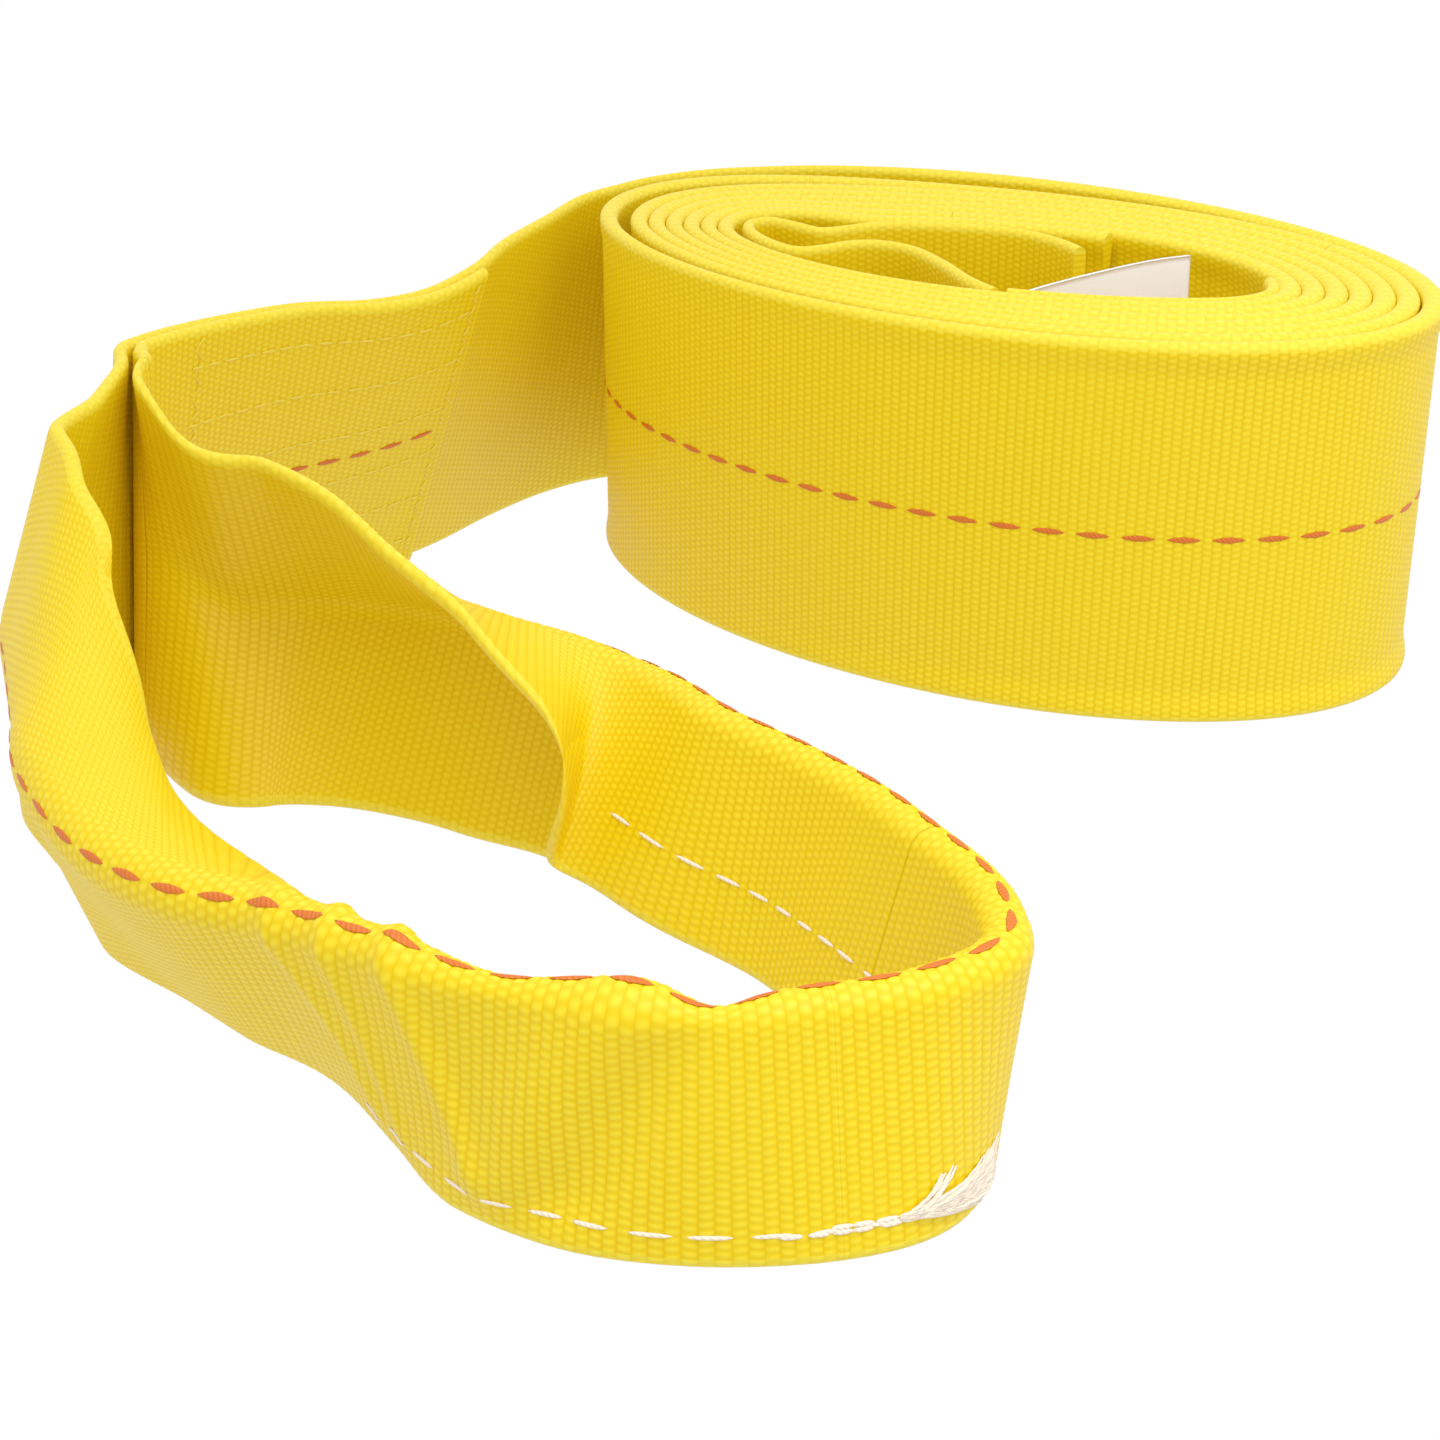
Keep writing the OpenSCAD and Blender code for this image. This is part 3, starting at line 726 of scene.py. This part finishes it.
def build_second_eye():
    """The second eye's inner leg, folded end and white seam, pressed inside the roll."""
    leg = Course(upright(spline(upright(INNER_LEG_ROWS))[:, :2]), start=-50.0)
    inner = web_piece("second_eye_inner_leg", leg, leg.known[0], leg.end, WEBBING, side=-1,
                      outer=60, inner=60)
    rows = [(x, y, 0, 180, 0) for x, y in INNER_FOLD_ROWS]
    fold = Course(spline(rows), start=leg.end)
    bearing = web_piece("second_eye_bearing", fold, fold.known[0], fold.end, WEBBING,
                        outer=60, inner=30)
    for o, n in ((inner, "inner_eye_inner_leg"), (bearing, "inner_eye_bearing")):
        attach(o, "coil")
        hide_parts(n)
    places = np.arange(fold.known[0] + 8, fold.end - 6, SEAM_PITCH)
    seam = join("second_eye_seam", [
        lens_row("a", fold, places, -HALF_W + SEAM_INSET, 5.4, 1.5, 0.7, 0.05, SEAM_THREAD_PAINTED_BOUNCE),
        lens_row("b", fold, places, HALF_W - SEAM_INSET, 5.4, 1.5, 0.7, 0.05, SEAM_THREAD_PAINTED_BOUNCE)])
    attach(seam, "coil")
    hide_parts("inner_eye_fold_seam")


def build_lead():
    """The web that leaves the coil in a curve, then the standing ply."""
    turn_end = crest(lead_s(3.0))
    bend = web_piece("lead_bend", WEB, crest(LEAD_S - LEAD_CUT), turn_end, WEBBING,
                     step=FINE_STEP, outer=96, inner=24)
    bends(bend, "coil", "splice", LEAD_S - 6, lead_s(1.4))
    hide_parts("lead_webbing")
    standing = web_piece("lead_standing_ply", WEB, turn_end, crest(eye_s(3.0)), WEBBING,
                         step=FINE_STEP, outer=96, inner=60)
    bends(standing, "splice", "eye", lead_s(12.2), eye_s(1.2))
    return bend, standing


def build_eye():
    """The outer eye: near leg, bearing end and far leg."""
    near_end, far_start = crest(eye_s(NEAR_LAST)), valley(eye_s(BEARING_LAST))
    near = web_piece("near_leg", WEB, crest(eye_s(3.0)), near_end, WEBBING, step=FINE_STEP,
                     outer=110, inner=60, fine_in=0.6)
    bearing = web_piece("eye_bearing", WEB, near_end, far_start, WEBBING, step=FINE_STEP,
                        outer=110, inner=90)
    far = web_piece("far_leg", WEB, far_start, valley(eye_s(EYE_LAST - 1.2)), WEBBING,
                    step=FINE_STEP, outer=90, inner=90)
    for o, n in ((near, "near_leg_webbing"), (bearing, "bearing_webbing"),
                 (far, "far_leg_webbing")):
        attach(o, "eye")
        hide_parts(n)


def build_lap():
    """The web's end, turned back along the lead and sewn to it."""
    ply = web_piece("lap_ply", WEB, valley(eye_s(EYE_LAST - 1.2)), LAP_END, WEBBING,
                    step=FINE_STEP, outer=96, inner=24)
    bends(ply, "eye", "splice", eye_s(EYE_LAST - 1.2), LAP_S + 14)
    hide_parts("lap_webbing")
    rows = []
    start, end = LAP_S + LAP_MARGIN, LAP_END - 3
    places = np.arange(start, end, LAP_PITCH)
    for k in range(LAP_ROWS):
        rows.append(lens_row("r%d" % k, WEB, places, lap_row_w(k), 4.0, 0.55, 0.22, 0.05,
                             LAP_THREAD, jitter=0.15))
    for at in (start, end):
        for i in range(-CROSS_HALF, CROSS_HALF + 1):
            if i:
                rows.append(lens_row("c", WEB, [at], i * CROSS_STEP, 2.0, 0.55, 0.22, 0.05,
                                     LAP_THREAD, slant=2.0 * (-1) ** i))
    thread = join("lap_stitching_thread", rows)
    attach(thread, "splice")
    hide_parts("lap_stitching")


def tracer_piece(name, s0, s1, width=1.3):
    """Floats of the marker yarn between two distances along the web."""
    places = np.arange(math.ceil(s0 / TRACER_PITCH) * TRACER_PITCH, s1, TRACER_PITCH)
    obj = lens_row(name, WEB, places, 0.0, 6.4, width, 0.14, 0.08, TRACER, ends=0.02,
                   blunt=1.1)
    return obj


def build_tracer():
    """The orange marker yarn, from the roll to the lap's end."""
    coil = tracer_piece("coil_tracer_yarn", COIL_S, LEAD_S - 10)
    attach(coil, "coil")
    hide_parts("coil_tracer")
    eye = tracer_piece("eye_tracer_yarn", eye_s(3.0), eye_s(EYE_LAST - 3), 1.0)
    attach(eye, "eye")
    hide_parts("eye_tracer")
    lap = tracer_piece("lap_tracer_yarn", LAP_S + 14, LAP_END)
    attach(lap, "splice")
    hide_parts("lap_tracer")
    for name, s0, s1, a, b, b0, b1 in (
            ("lead_tracer_yarn", LEAD_S - 10, lead_s(3.0), "coil", "splice",
             LEAD_S - 6, lead_s(1.4)),
            ("standing_tracer_yarn", lead_s(3.0), eye_s(3.0), "splice", "eye",
             lead_s(12.2), eye_s(1.2)),
            ("mouth_tracer_yarn", eye_s(EYE_LAST - 3), LAP_S + 14, "eye", "splice",
             eye_s(EYE_LAST - 1.2), LAP_S + 14)):
        bends(tracer_piece(name, s0, s1), a, b, b0, b1)


def build_fold_seam():
    """White stitches through the folded web, seen outside in front and inside on the far leg."""
    def row(name, first, last, w):
        """One lengthwise row between two rows of the eye."""
        places = np.arange(eye_s(first), eye_s(last), SEAM_STITCH)
        return lens_row(name, WEB, places, w, SEAM_STITCH * 0.7, 0.65, 0.3, 0.03, SEAM_THREAD_PAINTED_BOUNCE,
                        jitter=0.3)
    seam = join("eye_seam_thread", [
        row("front", SEAM_FIRST - 0.2, BACKTACK_ROW - 0.3, -HALF_W + 5),
        row("back", BEARING_LAST, SEAM_END, HALF_W - 13)])
    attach(seam, "eye")
    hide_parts("eye_fold_seam")


def tail(verts, faces, uv, line, radius):
    """A thin tapering thread along a line of points."""
    ring = 5
    base = len(verts)
    line = np.asarray(line, float)
    heading = np.gradient(line, axis=0)
    heading /= np.linalg.norm(heading, axis=1)[:, None]
    for i, (p, h) in enumerate(zip(line, heading)):
        a = np.cross(h, (0.3, 0.2, 0.93))
        a /= np.linalg.norm(a)
        b = np.cross(h, a)
        r = radius * (1 - 0.7 * i / (len(line) - 1))
        for k in range(ring):
            t = 2 * math.pi * k / ring
            verts.append((p + r * (math.cos(t) * a + math.sin(t) * b)).tolist())
            uv.append((i * 0.8, k * 0.2))
    faces.extend(grid_faces(len(line), ring, base))
    faces.extend(end_faces(len(line), ring, base))


def build_backtack():
    """A few back-stitches and a frayed fan of thread ends where the seam finishes."""
    root, tip = eye_s(BACKTACK_ROW - 0.25), eye_s(BACKTACK_ROW + 0.9)
    tack = join("backtack_stitches", [
        lens_row("t%d" % k, WEB, np.arange(root - 14 + 6 * k, root + 3, 3.2), -HALF_W + 4.7 + 0.7 * k,
                 3.0, 0.8, 0.35, 0.05, SEAM_THREAD_PAINTED_BOUNCE, jitter=0.4) for k in range(2)])
    verts, faces, uv = [], [], []
    for k in range(FAN_STRANDS):
        spread = rng.uniform(-1, 1)
        stray = k % 24 == 0
        lean = 4.5 if stray else (3.4 if spread > 0 else 4.2) * spread
        reach = (tip - root) * (rng.uniform(0.25, 0.45) if stray else rng.uniform(0.7, 1.0))
        start = root + rng.uniform(0, 2.5)
        height, curl = rng.uniform(0.2, 0.7), rng.normal(0, 0.3)
        line = []
        for u in np.linspace(0, 1, 8):
            across = -HALF_W + 5.2 + lean * u ** 1.4 + curl * math.sin(4 * u)
            out = WEB_T / 2 + 0.15 + height * math.sin(math.pi * u) ** 0.7
            line.append(web_points(WEB, [start + reach * u], [across], np.array([[out]]))[0, 0])
        tail(verts, faces, uv, line, 0.4)
    fan = new_object("backtack_tails", verts, faces, SEAM_THREAD_PAINTED_BOUNCE, uv)
    for o in (tack, fan):
        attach(o, "eye")
    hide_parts("fold_seam_backtack")


def build_tag():
    """The thin satin label, slightly curled, sewn in by its short edge."""
    top, height, thick = WEB_W + 1, 38.0, 0.7
    line = Course(upright(spline(upright(TAG_ROWS))[:, :2]))
    length = min(44.0, line.end)
    s = np.linspace(0, length, 45)
    z = np.linspace(0, height, 36)
    r, h = line.place(s)
    n = np.stack([-h[:, 1], h[:, 0]], 1)
    verts, uv = [], []
    for sign in (-1, 1):
        for i in range(len(s)):
            u = s[i] / length
            for zi in z:
                v = zi / height
                wave = 0.5 * math.sin(5 * u + 2 * v) * u + 0.8 * u * v
                off = wave + sign * thick / 2
                verts.append((r[i, 0] + n[i, 0] * off, r[i, 1] + n[i, 1] * off,
                              top - height + zi - (3.0 * (1 - u) + 0.6 * u ** 6) * v))
                uv.append((s[i], zi))
    m, k = len(s), len(z)
    faces = []
    for layer in (0, 1):
        b = layer * m * k
        for i in range(m - 1):
            for j in range(k - 1):
                f = (b + i * k + j, b + i * k + j + 1, b + (i + 1) * k + j + 1, b + (i + 1) * k + j)
                faces.append(f if layer else f[::-1])
    o = m * k
    for i in range(m - 1):
        faces.append((i * k, (i + 1) * k, o + (i + 1) * k, o + i * k))
        faces.append((i * k + k - 1, o + i * k + k - 1, o + (i + 1) * k + k - 1, (i + 1) * k + k - 1))
    for j in range(k - 1):
        faces.append((j, o + j, o + j + 1, j + 1))
        a = (m - 1) * k
        faces.append((a + j, a + j + 1, o + a + j + 1, o + a + j))
    tag = new_object("tag_label", verts, faces, TAG_CLOTH, uv)
    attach(tag, "tag")
    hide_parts("identification_tag")
    verts, faces, uv = [], [], []
    p, hd, nn = r[0], h[0], n[0]
    for j in range(8):
        z0 = top - height + 3 + 4.0 * j
        for side in (-1, 1):
            pts = [(p[0] + hd[0] * 2.2 + nn[0] * side * (thick / 2 + 0.35 * math.sin(math.pi * t)),
                    p[1] + hd[1] * 2.2 + nn[1] * side * (thick / 2 + 0.35 * math.sin(math.pi * t)),
                    z0 + 3.0 * t) for t in np.linspace(0, 1, 6)]
            tail(verts, faces, uv, pts, 0.4)
    stitches = new_object("tag_stitches", verts, faces, LAP_THREAD, uv)
    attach(stitches, "tag")
    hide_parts("tag_stitching")


# =========================== Stage ===========================

def area_light(name, location, aim, size, power):
    """A soft box at location facing aim, in metres and watts."""
    data = bpy.data.lights.new(name, "AREA")
    data.shape = "RECTANGLE"
    data.size, data.size_y = size
    data.energy = power
    obj = bpy.data.objects.new(name, data)
    bpy.context.collection.objects.link(obj)
    obj.location = location
    d = np.array(aim, float) - np.array(location, float)
    yaw = math.atan2(d[0], -d[1])
    pitch = math.atan2(math.hypot(d[0], d[1]), -d[2])
    obj.rotation_euler = (pitch, 0, yaw)
    return obj


def build_floor():
    """A wide pale floor that looks evenly white to the camera."""
    size = 3.0
    mesh = bpy.data.meshes.new("floor")
    mesh.from_pydata([(-size, -size, 0), (size, -size, 0), (size, size, 0), (-size, size, 0)], [],
                     [(0, 1, 2, 3)])
    m = bpy.data.materials.new("floor_white")
    m.use_nodes = True
    t = m.node_tree
    t.nodes.clear()
    out = t.nodes.new("ShaderNodeOutputMaterial")
    mix = t.nodes.new("ShaderNodeMixShader")
    glow = t.nodes.new("ShaderNodeEmission")
    plain = t.nodes.new("ShaderNodeEmission")
    path = t.nodes.new("ShaderNodeLightPath")
    glow.inputs["Strength"].default_value = 1.0
    plain.inputs["Strength"].default_value = 0.85
    t.links.new(path.outputs["Is Camera Ray"], mix.inputs[0])
    t.links.new(plain.outputs[0], mix.inputs[1])
    t.links.new(glow.outputs[0], mix.inputs[2])
    t.links.new(mix.outputs[0], out.inputs[0])
    mesh.materials.append(m)
    floor = bpy.data.objects.new("floor", mesh)
    floor.location.z = -0.0002
    bpy.context.collection.objects.link(floor)
    return floor


def build_stage():
    """Floor, soft boxes and an evenly white surrounding."""
    floor = build_floor()
    lights = [
        area_light("front_softbox", (-0.25, -1.2, 0.7), (-0.05, -0.05, 0.03), (1.2, 0.8), 4),
        area_light("high_softbox", (0.2, -0.9, 1.1), (-0.1, 0.0, 0.03), (0.9, 0.8), 9),
        area_light("lead_softbox", (0.25, -0.35, 0.6), (-0.11, 0.02, 0.04), (0.35, 0.35), 5),
        area_light("top_softbox", (0.0, -0.1, 1.3), (0, 0, 0), (1.4, 1.4), 8),
        area_light("right_softbox", (1.3, 0.0, 0.3), (0, 0, 0.03), (0.9, 0.7), 12),
        area_light("left_softbox", (-1.3, -0.3, 0.5), (0, 0, 0.03), (0.9, 0.8), 11),
    ]
    world = bpy.context.scene.world or bpy.data.worlds.new("world")
    bpy.context.scene.world = world
    world.use_nodes = True
    tree = world.node_tree
    tree.nodes.clear()
    out = tree.nodes.new("ShaderNodeOutputWorld")
    mix = tree.nodes.new("ShaderNodeMixShader")
    seen = tree.nodes.new("ShaderNodeBackground")
    fill = tree.nodes.new("ShaderNodeBackground")
    path = tree.nodes.new("ShaderNodeLightPath")
    seen.inputs["Strength"].default_value = 1.0
    seen.inputs["Color"].default_value = (1, 1, 1, 1)
    fill.inputs["Strength"].default_value = 0.85
    fill.inputs["Color"].default_value = (1, 1, 1, 1)
    tree.links.new(path.outputs["Is Camera Ray"], mix.inputs[0])
    tree.links.new(fill.outputs[0], mix.inputs[1])
    tree.links.new(seen.outputs[0], mix.inputs[2])
    tree.links.new(mix.outputs[0], out.inputs[0])


def build_camera():
    """A 65 mm lens, looking 24.8 degrees down."""
    data = bpy.data.cameras.new("camera")
    data.lens, data.sensor_width = 65.0, 36.0
    data.clip_start = 0.01
    camera = bpy.data.objects.new("camera", data)
    camera.location = (-0.0575, -0.5318, 0.2124)
    camera.rotation_euler = (math.radians(65.225), 0, 0)
    bpy.context.collection.objects.link(camera)
    bpy.context.scene.camera = camera


build_outer_wrap()
build_inner_wraps()
build_second_lap()
build_second_eye()
build_lead()
build_eye()
build_lap()
build_tracer()
build_fold_seam()
build_backtack()
build_tag()
build_stage()
build_camera()
bpy.context.scene.view_settings.view_transform = "Standard"
bpy.context.scene.view_settings.gamma = 1.5     # lifts the shadows, as a bright studio exposure does
